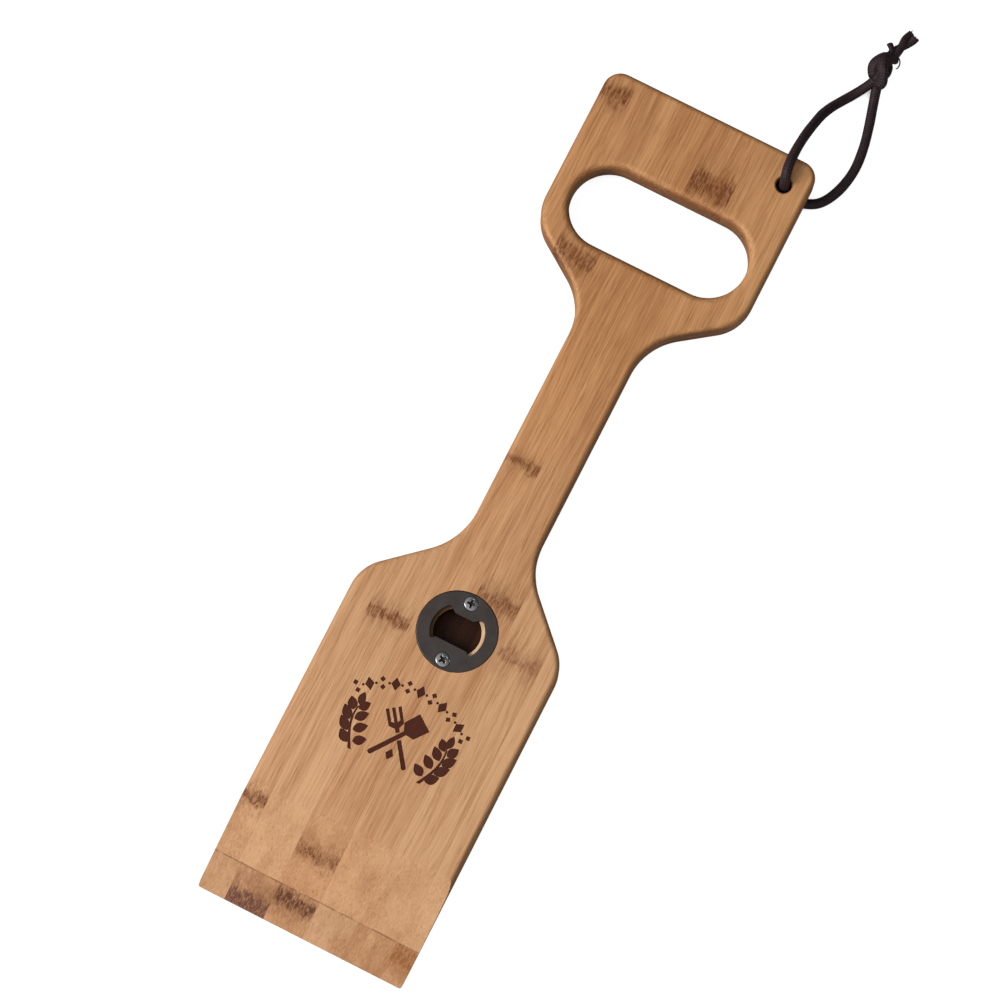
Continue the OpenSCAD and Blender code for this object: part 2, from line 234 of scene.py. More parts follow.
def fray(name, path, r, count, reach):
    """Short cut threads that stand out of a cord's end, as one mesh."""
    end, d = path[-1], (path[-1] - path[-4]).normalized()
    side = d.cross(Vector((0, 0, 1))).normalized()
    up = side.cross(d)
    verts, faces = [], []
    for _ in range(count):
        a, q = rnd.uniform(0, 2 * math.pi), r * math.sqrt(rnd.uniform(0, 1))
        base = end - d * 0.8 + side * q * math.cos(a) + up * q * math.sin(a)
        out = (d + side * math.cos(a) * 0.35 * q / r + up * math.sin(a) * 0.35 * q / r + Vector(rnd.normal(0, 0.12, 3))).normalized()
        length, w = 0.8 + reach * rnd.uniform(0.2, 1.0), rnd.uniform(0.16, 0.3)
        bend = Vector(rnd.normal(0, 0.16, 3)) * length
        u = out.cross(Vector((0.3, 0.2, 1))).normalized()
        v = out.cross(u)
        i0 = len(verts)
        for j in range(4):
            f = j / 3
            c = base + out * length * f + bend * f * f
            rr = w * (1 - 0.45 * f)
            for k in range(5):
                an = 2 * math.pi * k / 5
                verts.append((c + (u * math.cos(an) + v * math.sin(an)) * rr) * MM)
        for j in range(3):
            for k in range(5):
                faces.append((i0 + j * 5 + k, i0 + j * 5 + (k + 1) % 5, i0 + j * 5 + 5 + (k + 1) % 5, i0 + j * 5 + 5 + k))
        faces.append(tuple(i0 + 4 - k for k in range(5)))
        faces.append(tuple(i0 + 15 + k for k in range(5)))
    me = bpy.data.meshes.new(name)
    me.from_pydata([tuple(q) for q in verts], [], faces)
    me.polygons.foreach_set("use_smooth", [len(p.vertices) == 4 for p in me.polygons])
    ob = bpy.data.objects.new(name, me)
    scene.collection.objects.link(ob)
    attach(ob, "lanyard")
    return ob


knot_parts.append(fray("tail_fray_a", path_a, 1.95, 46, 0.8))
knot_parts.append(fray("tail_fray_b", path_b, 1.95, 46, 0.8))


# ------------------------------------------------------------------ board geometry
def unit2(x, y):
    n = math.hypot(x, y)
    return x / n, y / n


NECK_X, HANDLE_X, JOINT_X, FLARE_SKEW = 1.0, -0.5, 1.5, 3.0
HOLE_X, HOLE_Y, OY, SLOT_Y = 44.0, 434.5, 164.5, 385.5


def side_corners(sd, up):
    return [(sd * 55, -20, 8), (sd * 55, 172, 22), (NECK_X + sd * 17.75, 207 + sd, 36), (NECK_X + sd * 17.75, 334 + up, 32),
            (HANDLE_X + sd * 57.5, 362 + up, 23), (HANDLE_X + sd * 57.5, 450, 9)]


CORNERS = side_corners(1, 0) + side_corners(-1, FLARE_SKEW)[::-1]


def outline(d, step=3.0):
    pts = []
    m = len(CORNERS)
    for i, (px, py, r) in enumerate(CORNERS):
        ax, ay = CORNERS[i - 1][:2]
        bx, by = CORNERS[(i + 1) % m][:2]
        ux, uy = unit2(ax - px, ay - py)
        wx, wy = unit2(bx - px, by - py)
        half = math.acos(ux * wx + uy * wy) / 2
        cx, cy = unit2(ux + wx, uy + wy)
        cx, cy = px + cx * r / math.sin(half), py + cy * r / math.sin(half)
        t1 = (px + ux * r / math.tan(half), py + uy * r / math.tan(half))
        turn = math.pi - 2 * half
        s = 1 if (px - ax) * (by - py) - (py - ay) * (bx - px) > 0 else -1
        a1 = math.atan2(t1[1] - cy, t1[0] - cx)
        n = max(3, int(math.degrees(turn) / step + 0.999))
        for k in range(n + 1):
            a = a1 + s * turn * k / n
            pts.append((cx + (r - s * d) * math.cos(a), cy + (r - s * d) * math.sin(a)))
    return pts


def slot_ring(d, n=30):
    r, e, cy = 20.25, 47 - 20.25, 385.5
    pts = [(e + (r + d) * math.cos(a), cy + (r + d) * math.sin(a)) for a in np.linspace(-math.pi / 2, math.pi / 2, n + 1)]
    pts += [(-e + (r + d) * math.cos(a), cy + (r + d) * math.sin(a)) for a in np.linspace(math.pi / 2, 3 * math.pi / 2, n + 1)]
    return pts


def round_profile(r, n=8):
    """(height below the face, distance inwards) of a rounded edge, from the wall to the face."""
    return [(r - r * math.sin(q), r - r * math.cos(q)) for q in np.linspace(0, math.pi / 2, n + 1)]


def stack(rings, heights):
    bm = bmesh.new()
    rows = [[bm.verts.new((x, y, z)) for x, y in ring] for ring, z in zip(rings, heights)]
    m = len(rows[0])
    for a, b in zip(rows, rows[1:]):
        for i in range(m):
            bm.faces.new((a[i], a[(i + 1) % m], b[(i + 1) % m], b[i]))
    bm.faces.new(list(reversed(rows[0])))
    bm.faces.new(rows[-1])
    bm.normal_update()
    bmesh.ops.triangulate(bm, faces=[f for f in bm.faces if len(f.verts) > 4])
    bmesh.ops.recalc_face_normals(bm, faces=bm.faces)
    return bm


EDGE_R = 3.0
front_prof = [(BACK_T, 0.0)] + [(BOARD_T - h, d) for h, d in round_profile(EDGE_R)]
back_prof = [(h, d) for h, d in reversed(round_profile(EDGE_R))] + [(BACK_T, 0.0)]


def blank(prof):
    return stack([outline(d) for z, d in prof], [z for z, d in prof])


def cut(bm, co, no):
    """Removes what lies on the side that no points to, and closes the cut."""
    geom = bm.verts[:] + bm.edges[:] + bm.faces[:]
    r = bmesh.ops.bisect_plane(bm, geom=geom, dist=1e-5, plane_co=co, plane_no=no, clear_outer=True)
    edges = [e for e in r["geom_cut"] if isinstance(e, bmesh.types.BMEdge)]
    open_edges = [e for e in bm.edges if len(e.link_faces) == 1]
    if open_edges:
        f = bmesh.ops.edgeloop_fill(bm, edges=open_edges)
        bm.normal_update()
        bmesh.ops.triangulate(bm, faces=f["faces"])
    bmesh.ops.recalc_face_normals(bm, faces=bm.faces)


def to_object(bm, name, mm=True):
    me = bpy.data.meshes.new(name)
    bm.to_mesh(me)
    bm.free()
    ob = bpy.data.objects.new(name, me)
    scene.collection.objects.link(ob)
    return ob


def boolean(ob, cutter, op="DIFFERENCE"):
    m = ob.modifiers.new("b", "BOOLEAN")
    m.object, m.operation, m.solver = cutter, op, "EXACT"
    dg = bpy.context.evaluated_depsgraph_get()
    me = bpy.data.meshes.new_from_object(ob.evaluated_get(dg))
    ob.modifiers.clear()
    old = ob.data
    ob.data = me
    bpy.data.meshes.remove(old)


def ngon_cylinder(x, y, z0, z1, r0, r1=None, n=96):
    r1 = r0 if r1 is None else r1
    ring = lambda r: [(x + r * math.cos(2 * math.pi * k / n), y + r * math.sin(2 * math.pi * k / n)) for k in range(n)]
    return stack([ring(r0), ring(r1)], [z0, z1])


# cutters, in board millimetres
slot_prof_f = [(BACK_T - 2, 0.0)] + [(BOARD_T - h, d) for h, d in round_profile(4.0)] + [(BOARD_T + 1.5, 4.0)]
slot_prof_b = [(-1.5, 3.0)] + [(h, d) for h, d in reversed(round_profile(3.0))] + [(BACK_T + 2, 0.0)]
slot_f = to_object(stack([slot_ring(d) for z, d in slot_prof_f], [z for z, d in slot_prof_f]), "cut_slot_front")
slot_b = to_object(stack([slot_ring(d) for z, d in slot_prof_b], [z for z, d in slot_prof_b]), "cut_slot_back")
seat_cut = to_object(ngon_cylinder(JOINT_X, OY, 15, 20, 20.1), "cut_seat")
pocket_cut = to_object(ngon_cylinder(JOINT_X, OY, 6.95, 16, 11.8, n=72), "cut_pocket")
screw_cuts = [to_object(ngon_cylinder(JOINT_X, OY + s * 15.25, 7.6, 16, 1.6, n=24), "cut_screw") for s in (-1, 1)]


def hole_bm():
    n, z, r = 48, [], []
    for h, rr in ((-2, 5.2), (0, 4.9), (0.35, 4.35), (0.9, 4.02), (17.1, 4.02), (17.65, 4.35), (18, 4.9), (20, 5.2)):
        z.append(h); r.append(rr)
    ring = lambda q: [(HOLE_X + q * math.cos(2 * math.pi * k / n), HOLE_Y + q * math.sin(2 * math.pi * k / n)) for k in range(n)]
    return stack([ring(q) for q in r], z)


hole_cut = to_object(hole_bm(), "cut_hole")
CUTTERS = [slot_f, slot_b, seat_cut, pocket_cut, hole_cut] + screw_cuts

G = (BOARD_T - 1.5) / 57.0
BEVEL_NO = Vector((0, -G, 1)).normalized()
BEVEL_CO = Vector((0, 57, BOARD_T))
MID, TOP = 270.0, 455.0
FW, BW = 22.0, 21.0
SLATS = []
for side, w in (("front", FW), ("back", BW)):
    edges = [-70] + [JOINT_X + q * w for q in (-2, -1, 0, 1, 2)] + [70]
    for i in range(6):
        a, b, k = edges[i], edges[i + 1], i + 1
        if k in (1, 6):
            SLATS += [(side, k, "blade", a, b, 0, MID), (side, k, "handle", a, b, MID, TOP)]
        elif k in (2, 5):
            SLATS += [(side, k, "blade", a, b, 0, MID), (side, k, "handle", a, b, MID, 385.5), (side, k, "grip", a, b, 385.5, TOP)]
        else:
            SLATS += [(side, k, "shaft", a, b, 0, 385.5), (side, k, "grip", a, b, 385.5, TOP)]

blanks = {"front": blank(front_prof), "back": blank(back_prof)}

# ---- the burnt mark: a generic arc of lozenges, two leaf sprigs and a crossed fork and turner
MARK_X, MARK_Y, MARK_DEPTH, MARK_S = -0.6, 109.8, 0.3, 1.11


def turned(pts, ang, cx=0.0, cy=0.0):
    c, q = math.cos(math.radians(ang)), math.sin(math.radians(ang))
    return [(cx + x * c - y * q, cy + x * q + y * c) for x, y in pts]


def leaf(length, width, n=9):
    f = np.linspace(0, 1, n)
    w = width / 2 * np.sin(np.pi * f ** 0.85) ** 0.9
    return [(float(-q), float(t * length)) for t, q in zip(f, w)] + [(float(q), float(t * length)) for t, q in list(zip(f, w))[-2:0:-1]]


def mark_shapes():
    out = []
    R, cy0 = 39.0, -20.6
    for k in range(-5, 6):                                   # arc of lozenges with dots between
        a = 90 - k * 8.4
        cx, cy = R * math.cos(math.radians(a)), cy0 + R * math.sin(math.radians(a))
        if k % 2 == 0:
            out.append(turned([(0, -3.0), (2.1, 0), (0, 3.0), (-2.1, 0)], a - 90, cx, cy))
        else:
            for v in (-1.75, 1.75):
                out.append(turned([(0, v - 1.3), (1.3, v), (0, v + 1.3), (-1.3, v)], a - 90, cx, cy))
        if k < 5:
            a2 = a - 4.2
            cx, cy = R * math.cos(math.radians(a2)), cy0 + R * math.sin(math.radians(a2))
            out.append([(cx + 0.62 * math.cos(q), cy + 0.62 * math.sin(q)) for q in np.linspace(0, 2 * math.pi, 11)[:-1]])
    for sd in (-1, 1):                                       # leaf sprigs left and right
        spine = [(sd * (16.6 + 5.2 * math.sin(t / 19 * 2.0)), -17.5 + t) for t in np.linspace(0, 18.5, 9)]
        w = [0.80 - 0.055 * i for i in range(9)]
        out.append([(x - q, y) for (x, y), q in zip(spine, w)] + [(x + q, y) for (x, y), q in list(zip(spine, w))[::-1]])
        for i, (out_ang, in_ang, ln) in enumerate(((52, 56, 6.8), (48, 50, 7.4), (42, 44, 7.2), (34, 38, 6.2))):
            x, y = spine[1 + 2 * i if i < 3 else 7]
            out.append(turned(leaf(ln, 4.5), -sd * out_ang, x + sd * 0.9, y - 0.2))
            out.append(turned(leaf(ln * 0.95, 4.3), sd * in_ang, x - sd * 0.9, y + 1.2))
        x, y = spine[-1]
        out.append(turned(leaf(6.2, 3.5), -sd * 2, x, y + 0.6))
    return out


def tool_shapes():
    out = []
    fork = [[(-1.05, -14.2), (-0.55, -14.8), (0.55, -14.8), (1.05, -14.2), (0.95, -1.7), (-0.95, -1.7)],
            [(-0.95, 1.7), (0.95, 1.7), (0.95, 3.6), (3.4, 5.2), (3.5, 12.8), (2.0, 12.8), (2.0, 6.9), (0.75, 6.2), (0.75, 12.8), (-0.75, 12.8), (-0.75, 6.2),
             (-2.0, 6.9), (-2.0, 12.8), (-3.5, 12.8), (-3.4, 5.2), (-0.95, 3.6)]]
    turner = [[(-1.1, -14.2), (-0.6, -14.8), (0.6, -14.8), (1.1, -14.2), (1.0, 3.2), (4.2, 5.2), (4.4, 12.9), (-4.4, 12.9), (-4.2, 5.2), (-1.0, 3.2)]]
    for poly in fork: out.append(turned(poly, 36, 0, -3.2))
    for poly in turner: out.append(turned(poly, -36, 0, -3.2))
    return out


def mark_cutter():
    bm = bmesh.new()
    shapes = [[(MARK_X + MARK_S * x, MARK_Y + MARK_S * y) for x, y in sh] for sh in mark_shapes() + tool_shapes()]
    shapes.append([(MARK_X + MARK_S * x, MARK_Y + MARK_S * y) for x, y in ((0, -14.4), (1.9, -11.8), (0, -9.2), (-1.9, -11.8))])
    for sh in shapes:
        area2 = sum(a[0] * b[1] - b[0] * a[1] for a, b in zip(sh, sh[1:] + sh[:1]))
        if area2 < 0: sh = sh[::-1]
        lo = [bm.verts.new((x, y, BOARD_T - MARK_DEPTH)) for x, y in sh]
        hi = [bm.verts.new((x, y, BOARD_T + 0.6)) for x, y in sh]
        bm.faces.new(lo[::-1])
        bm.faces.new(hi)
        m = len(sh)
        for i in range(m): bm.faces.new((lo[i], lo[(i + 1) % m], hi[(i + 1) % m], hi[i]))
    bm.normal_update()
    bmesh.ops.triangulate(bm, faces=[f for f in bm.faces if len(f.verts) > 4])
    bmesh.ops.recalc_face_normals(bm, faces=bm.faces)
    return to_object(bm, "cut_mark")


def boolean_mark(ob, cutter):
    """Cuts the mark; leaves overlap their stems, so the solver unites the cutter's own pieces."""
    m = ob.modifiers.new("b", "BOOLEAN")
    m.object, m.operation, m.solver, m.use_self, m.use_hole_tolerant = cutter, "DIFFERENCE", "EXACT", True, True
    dg = bpy.context.evaluated_depsgraph_get()
    me = bpy.data.meshes.new_from_object(ob.evaluated_get(dg))
    ob.modifiers.clear()
    old = ob.data
    ob.data = me
    bpy.data.meshes.remove(old)


mark_cut = mark_cutter()
MARKED = ("front_slat_2_blade", "front_slat_3_shaft", "front_slat_4_shaft", "front_slat_5_blade")


def round_tip(bm, side):
    """Small round on one upright tip corner."""
    r, n = 1.5, 5
    for k in range(n):
        a = math.pi / 2 * (k + 0.5) / n
        no = Vector((side * math.sin(a), -math.cos(a), 0))
        co = Vector((side * (55 - r) + no.x * r, r + no.y * r, 0))
        cut(bm, co, no)


def finish_shading(ob, angle=32):
    me = ob.data
    me.polygons.foreach_set("use_smooth", [True] * len(me.polygons))
    me.set_sharp_from_angle(angle=math.radians(angle))
    m = ob.modifiers.new("normals", "WEIGHTED_NORMAL")
    m.keep_sharp = True
    m.weight = 100


slat_obs = {}
for side, k, part, a, b, y0, y1 in SLATS:
    name = f"{side}_slat_{k}_{part}"
    ob = to_object(blanks[side].copy(), "bamboo_" + name)
    strip = to_object(stack([[(a, y0), (b, y0), (b, y1), (a, y1)]] * 2, [-1, 19]), "cut_strip")
    boolean(ob, strip, "INTERSECT")
    bpy.data.objects.remove(strip)
    if y0 == 0:
        bm = bmesh.new()
        bm.from_mesh(ob.data)
        cut(bm, BEVEL_CO, BEVEL_NO)
        if side == "back" and part == "blade" and k in (1, 6): round_tip(bm, -1 if k == 1 else 1)
        bm.to_mesh(ob.data)
        bm.free()
    if part in ("handle", "grip", "shaft"): boolean(ob, slot_f if side == "front" else slot_b)
    if name in ("front_slat_3_shaft", "front_slat_4_shaft"):
        boolean(ob, seat_cut); boolean(ob, pocket_cut)
        for c in screw_cuts: boolean(ob, c)
    if name in ("front_slat_5_grip", "front_slat_6_handle", "back_slat_5_grip", "back_slat_6_handle"): boolean(ob, hole_cut)
    if name in MARKED:
        boolean_mark(ob, mark_cut)
        burnt = [p.index for p in ob.data.polygons if BOARD_T - MARK_DEPTH - 0.02 < p.center.z < BOARD_T - 0.02 and 85 < p.center.y < 140]
    else:
        burnt = []
    ob["burnt"] = burnt
    ob["pocket"] = [p.index for p in ob.data.polygons if 6.9 < p.center.z < 14.8 and math.hypot(p.center.x - JOINT_X, p.center.y - OY) < 11.9] if name in ("front_slat_3_shaft", "front_slat_4_shaft") else []
    ob.data.transform(LAY)
    finish_shading(ob)
    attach(ob, "board")
    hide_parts(name)
    slat_obs[name] = ob
for bm in blanks.values(): bm.free()
for c in CUTTERS + [mark_cut]: bpy.data.objects.remove(c)


# ------------------------------------------------------------------ bottle opener and screws
def mouth_ring():
    """The opener's mouth: round sides, a lifting lip above and a straight edge below."""
    r, pts = 13.5, []
    a_lo, a_hi = math.asin(8.2 / r), math.asin(10 / r)
    for q in np.linspace(-a_lo, a_hi, 19): pts.append((r * math.cos(q), r * math.sin(q)))
    pts += [(8.2, 10.0), (7.6, 9.7), (5.2, 7.95), (4.6, 7.7), (-4.6, 7.7), (-5.2, 7.95), (-7.6, 9.7), (-8.2, 10.0)]
    for q in np.linspace(math.pi - a_hi, math.pi + a_lo, 19): pts.append((r * math.cos(q), r * math.sin(q)))
    pts += [(-9.7, -8.2), (-9.2, -7.9), (-8.6, -6.95), (-8.2, -6.8), (8.2, -6.8), (8.6, -6.95), (9.2, -7.9), (9.7, -8.2)]
    return pts


PLATE_Z = 15.0
bm = bmesh.new()
prof = [(20.0, 0.0)] + [(20.0 - d, 2.8 - h) for h, d in round_profile(0.45, 5)]
rings = []
for r, z in prof:
    rings.append([(JOINT_X + r * math.cos(2 * math.pi * k / 128), OY + r * math.sin(2 * math.pi * k / 128)) for k in range(128)])
bm = stack(rings, [PLATE_Z + z for r, z in prof])
plate = to_object(bm, "opener_plate_steel")
mouth = to_object(stack([[(JOINT_X + x, OY + y) for x, y in mouth_ring()]] * 2, [14, 19]), "cut_mouth")
boolean(plate, mouth)
bpy.data.objects.remove(mouth)
for sd in (-1, 1):
    prof = [(14.0, 1.8), (PLATE_Z + 1.0, 1.8), (PLATE_Z + 2.6, 3.65), (PLATE_Z + 3.4, 4.5)]
    rr = [[(JOINT_X + r * math.cos(2 * math.pi * k / 64), OY + sd * 15.25 + r * math.sin(2 * math.pi * k / 64)) for k in range(64)] for z, r in prof]
    sink = to_object(stack(rr, [z for z, r in prof]), "cut_sink")
    boolean(plate, sink)
    bpy.data.objects.remove(sink)
bv = plate.modifiers.new("edge", "BEVEL")
bv.width, bv.segments, bv.limit_method, bv.angle_limit, bv.harden_normals = 0.22, 3, "ANGLE", math.radians(38), False
dg = bpy.context.evaluated_depsgraph_get()
me = bpy.data.meshes.new_from_object(plate.evaluated_get(dg))
plate.modifiers.clear()
plate.data = me
plate.data.transform(LAY)
finish_shading(plate, 40)
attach(plate, "board")
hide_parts("bottle_opener_plate")


def screw(name, cy, turn):
    """Countersunk screw: domed head with a pressed cross recess, and a threaded shank in the wood."""
    top = PLATE_Z + 2.8
    verts, faces, deep = [], [], []
    na, R = 96, 3.6
    radii = [0.0] + [R * q for q in np.linspace(0.035, 0.955, 26)] + [R * 0.985, R]
    arm, half = 2.0, 0.42

    def recess(x, y):
        d = 0.0
        for ang in (turn, turn + 90):
            c, q = math.cos(math.radians(ang)), math.sin(math.radians(ang))
            u, v = abs(x * c + y * q), abs(-x * q + y * c)
            e = max(u - arm, v - half * (1 + 0.25 * (1 - u / arm)), -1)
            t = min(1.0, max(0.0, 0.5 - e / 0.34))
            d = max(d, t * t * (3 - 2 * t) * (1 - 0.42 * min(1, u / arm) ** 2))
        return d
    for ri, r in enumerate(radii):
        for k in range(na if ri else 1):
            a = 2 * math.pi * k / na
            x, y = r * math.cos(a), r * math.sin(a)
            dome = 0.50 * (1 - (r / R) ** 2) ** 0.8 - 0.05
            edge = -0.28 * max(0, (r / R - 0.955) / 0.045) ** 2
            g = recess(x, y)
            verts.append((JOINT_X + x, cy + y, top + dome * (1 - 0.3 * g) + edge - 1.15 * g))
            deep.append(g)
    ring0 = lambda i: 1 + (i - 1) * na
    for k in range(na): faces.append((0, ring0(1) + k, ring0(1) + (k + 1) % na))
    for i in range(1, len(radii) - 1):
        for k in range(na):
            k2 = (k + 1) % na
            faces.append((ring0(i) + k, ring0(i + 1) + k, ring0(i + 1) + k2, ring0(i) + k2))
    last = ring0(len(radii) - 1)
    prof = [(3.45, -0.5), (1.72, -1.9), (1.5, -2.3)]         # cone under the head, then the thread
    z, n = -2.5, 0
    while z > -10.2:
        prof.append((1.18 if n % 2 else 1.56, z)); z -= 0.42; n += 1
    prof += [(0.9, -10.9), (0.35, -11.6)]
    for r, zz in prof:
        base = len(verts)
        for k in range(na):
            a = 2 * math.pi * k / na
            lead = 0.84 * k / na if zz < -2.4 and zz > -10.3 else 0.0
            verts.append((JOINT_X + r * math.cos(a), cy + r * math.sin(a), top + zz - lead * 0.5)); deep.append(0.0)
        for k in range(na):
            k2 = (k + 1) % na
            faces.append((last + k, base + k, base + k2, last + k2))
        last = base
    faces.append(tuple(last + k for k in range(na - 1, -1, -1)))
    me = bpy.data.meshes.new(name)
    me.from_pydata(verts, [], faces)
    att = me.attributes.new("recess", "FLOAT", "POINT")
    att.data.foreach_set("value", deep)
    bmx = bmesh.new(); bmx.from_mesh(me); bmesh.ops.recalc_face_normals(bmx, faces=bmx.faces); bmx.to_mesh(me); bmx.free()
    me.transform(LAY)
    ob = bpy.data.objects.new(name, me)
    scene.collection.objects.link(ob)
    finish_shading(ob, 55)
    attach(ob, "board")
    return ob


screw_up = screw("screw_upper_crosshead", OY + 15.25, 8)
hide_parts("opener_screw_upper")
screw_lo = screw("screw_lower_crosshead", OY - 15.25, 52)
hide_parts("opener_screw_lower")


# ------------------------------------------------------------------ materials
class Net:
    """Short hand for a node tree."""

    def __init__(self, tree):
        self.t = tree

    def put(self, sock, v):
        if isinstance(v, bpy.types.NodeSocket):
            self.t.links.new(v, sock)
        elif isinstance(v, (tuple, list)) and len(v) == 3 and sock.type == "RGBA":
            sock.default_value = (*v, 1)
        else:
            sock.default_value = v

    def node(self, kind, **props):
        n = self.t.nodes.new(kind)
        for k, v in props.items(): setattr(n, k, v)
        return n

    def m(self, op, a, b=None, c=None, clamp=False):
        n = self.node("ShaderNodeMath", operation=op, use_clamp=clamp)
        for i, v in enumerate((a, b, c)):
            if v is not None: self.put(n.inputs[i], v)
        return n.outputs[0]

    def v(self, op, a, b=None):
        n = self.node("ShaderNodeVectorMath", operation=op)
        self.put(n.inputs[0], a)
        if b is not None: self.put(n.inputs[1], b)
        return n.outputs[0]

    def vec(self, x, y, z):
        n = self.node("ShaderNodeCombineXYZ")
        for i, q in enumerate((x, y, z)): self.put(n.inputs[i], q)
        return n.outputs[0]

    def noise(self, vec, scale=1.0, detail=2.0, rough=0.5, dist=0.0):
        n = self.node("ShaderNodeTexNoise", noise_dimensions="3D", normalize=True)
        self.put(n.inputs["Vector"], vec)
        n.inputs["Scale"].default_value, n.inputs["Detail"].default_value = scale, detail
        n.inputs["Roughness"].default_value, n.inputs["Distortion"].default_value = rough, dist
        return n.outputs["Fac"]

    def step(self, x, lo, hi):
        n = self.node("ShaderNodeMapRange", interpolation_type="SMOOTHSTEP")
        self.put(n.inputs["Value"], x)
        for k, q in (("From Min", lo), ("From Max", hi), ("To Min", 0.0), ("To Max", 1.0)): self.put(n.inputs[k], q)
        return n.outputs[0]

    def mix(self, f, a, b, blend="MIX"):
        n = self.node("ShaderNodeMix", data_type="RGBA", blend_type=blend, clamp_factor=True)
        self.put(n.inputs[0], f)
        self.put(n.inputs[6], a)
        self.put(n.inputs[7], b)
        return n.outputs[2]


def bamboo_group():
    g = bpy.data.node_groups.new("bamboo", "ShaderNodeTree")
    io = g.interface
    for nm, kind, dv in (("Seed", "NodeSocketFloat", 0.0), ("Tone", "NodeSocketFloat", 0.5), ("Warm", "NodeSocketFloat", 0.0),
                         ("Left", "NodeSocketFloat", -999.0), ("Right", "NodeSocketFloat", 999.0),
                         ("Mark1", "NodeSocketFloat", -999.0), ("Power1", "NodeSocketFloat", 0.0), ("Size1", "NodeSocketFloat", 5.0),
                         ("Mark2", "NodeSocketFloat", -999.0), ("Power2", "NodeSocketFloat", 0.0), ("Size2", "NodeSocketFloat", 5.0),
                         ("Mark Colour", "NodeSocketColor", (0.132, 0.037, 0.0065, 1))):
        q = io.new_socket(name=nm, in_out="INPUT", socket_type=kind)
        q.default_value = dv
    for nm, kind in (("Color", "NodeSocketColor"), ("Roughness", "NodeSocketFloat"), ("Height", "NodeSocketFloat")):
        io.new_socket(name=nm, in_out="OUTPUT", socket_type=kind)
    N = Net(g)
    gi, go = N.node("NodeGroupInput"), N.node("NodeGroupOutput")
    I = gi.outputs
    tc = N.node("ShaderNodeTexCoord")
    mp = N.node("ShaderNodeMapping", vector_type="POINT")
    N.put(mp.inputs["Vector"], tc.outputs["Object"])
    mp.inputs["Scale"].default_value = (1000, 1000, 1000)
    mp.inputs["Rotation"].default_value = (-LEAN, 0, 0)
    mp.inputs["Location"].default_value = (0, 225 * math.cos(LEAN), -225 * math.sin(LEAN))
    sp = N.node("ShaderNodeSeparateXYZ")
    N.put(sp.inputs[0], mp.outputs[0])
    x, y, z = sp.outputs
    seed = N.vec(N.m("MULTIPLY", I["Seed"], 13.7), N.m("MULTIPLY", I["Seed"], 5.31), N.m("MULTIPLY", I["Seed"], 29.3))
    # slow wander of the fibres
    wob = N.noise(N.v("ADD", N.vec(N.m("DIVIDE", x, 30), N.m("DIVIDE", y, 75), 0.0), seed), 1, 1, 0.5)
    xw = N.m("ADD", x, N.m("MULTIPLY", N.m("SUBTRACT", wob, 0.5), 5.0))

    def fib(sx, sy, sz, detail=2.0, rough=0.5, dist=0.0, shift=0.0):
        return N.noise(N.v("ADD", N.vec(N.m("DIVIDE", xw, sx), N.m("ADD", N.m("DIVIDE", y, sy), shift), N.m("DIVIDE", z, sz)), seed), 1, detail, rough, dist)

    streak = fib(1.15, 44, 0.8, 3.0, 0.62)
    fine = fib(0.42, 20, 0.36, 2.0, 0.6, shift=7.3)
    broad = fib(9, 150, 5, 1.0, 0.5, shift=3.1)
    pores = N.step(fib(0.62, 11, 0.55, 1.0, 0.5, shift=19.7), 0.585, 0.70)
    light = N.step(fib(1.1, 34, 1.0, 1.0, 0.5, shift=41.7), 0.56, 0.72)
    speck = N.step(N.noise(N.v("ADD", N.vec(N.m("DIVIDE", x, 0.75), N.m("DIVIDE", y, 1.5), N.m("DIVIDE", z, 0.75)), seed), 1, 2, 0.6), 0.50, 0.68)
    nrm = N.node("ShaderNodeSeparateXYZ")
    N.put(nrm.inputs[0], tc.outputs["Normal"])
    tip = N.m("SUBTRACT", 1.0, N.step(y, 53.0, 59.0))       # the sanded bevel: short, even fibres
    t = N.m("ADD", I["Tone"], N.m("MULTIPLY", N.m("SUBTRACT", streak, 0.5), N.m("SUBTRACT", 1.40, N.m("MULTIPLY", tip, 0.75))))
    t = N.m("ADD", t, N.m("MULTIPLY", N.m("SUBTRACT", fine, 0.5), N.m("SUBTRACT", 0.90, N.m("MULTIPLY", tip, 0.40))))
    t = N.m("ADD", t, N.m("MULTIPLY", N.m("SUBTRACT", broad, 0.5), 0.95))
    t = N.m("ADD", t, N.m("MULTIPLY", light, 0.16))
    t = N.m("SUBTRACT", t, N.m("MULTIPLY", pores, 0.26))
    # painted shade: the wood is made a little darker towards the handle, standing in for the key light falling off
    # along the board; it is also darker over the first 30 mm from the scraping edge
    t = N.m("SUBTRACT", t, N.m("MULTIPLY", N.step(y, 200.0, 400.0), 0.12))
    t = N.m("SUBTRACT", t, N.m("MULTIPLY", N.m("SUBTRACT", 1.0, N.step(y, 10.0, 30.0)), 0.14))
    ramp = N.node("ShaderNodeValToRGB")
    N.put(ramp.inputs[0], t)
    cr = ramp.color_ramp
    cr.interpolation = "B_SPLINE"
    cr.elements[0].position, cr.elements[0].color = 0.0, (*DARK, 1)
    cr.elements[1].position, cr.elements[1].color = 1.0, (*LIGHT, 1)
    e = cr.elements.new(0.5); e.color = (*MIDDLE, 1)
    col = ramp.outputs[0]
    col = N.mix(I["Warm"], col, (1.10, 0.90, 0.74), "MULTIPLY")
    col = N.mix(N.step(y, 150.0, 330.0), col, (0.97, 0.885, 0.745), "MULTIPLY")
